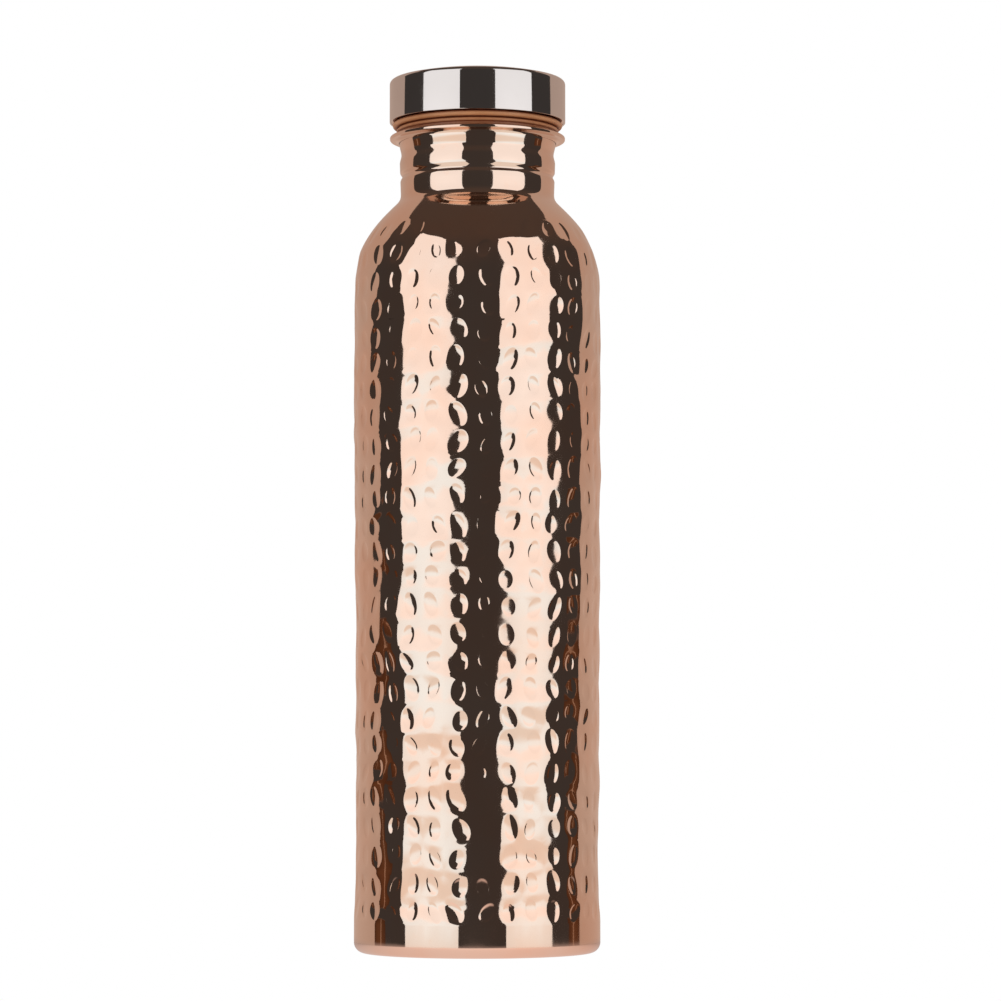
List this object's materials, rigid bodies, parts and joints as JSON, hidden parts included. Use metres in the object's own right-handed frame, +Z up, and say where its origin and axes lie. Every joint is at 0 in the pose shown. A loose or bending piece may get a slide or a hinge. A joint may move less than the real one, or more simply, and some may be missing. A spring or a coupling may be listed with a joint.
{
  "type": "water bottle",
  "caption": "Tall hammered copper water bottle with a rolled neck, a smooth flared foot and a polished steel screw cap that unscrews from the mouth.",
  "frame": {"origin": "centre of the standing ring, on the plane that the bottle rests on", "axes": "+Z up along the bottle's axis, from the base to the cap; the bottle is round, so X and Y are free"},
  "size_m": [0.0714, 0.0714, 0.2556],
  "materials": {
    "hammered_copper": "hammered and mirror polished copper",
    "polished_copper": "mirror polished copper",
    "polished_steel": "polished stainless steel",
    "amber_silicone": "satin copper-brown silicone",
    "filler_pad": "matt pad"
  },
  "bodies": {
    "bottle": {"body_shell": "hammered_copper", "base_cup": "polished_copper", "neck_flange": "polished_copper", "mouth_collar": "polished_copper", "neck_seal_ring": "amber_silicone"},
    "washer": {"cap_gasket": "amber_silicone"},
    "cap": {"cap_shell": "polished_steel", "cap_liner": "polished_copper", "cap_filler": "filler_pad"}
  },
  "joints": [
    {"name": "cap_lift", "type": "slide", "parent": "bottle", "child": "washer", "axis": [0, 0, 1], "range_m": [0, 0.012]},
    {"name": "cap_turn", "type": "hinge", "parent": "washer", "child": "cap", "pos_m": [0, 0, 0.2453], "axis": [0, 0, 1], "range_deg": [0, 1080]}
  ],
  "couplings": [
    {"joint": "cap_lift", "follows": "cap_turn", "m_per_rad": 0.00063662}
  ]
}
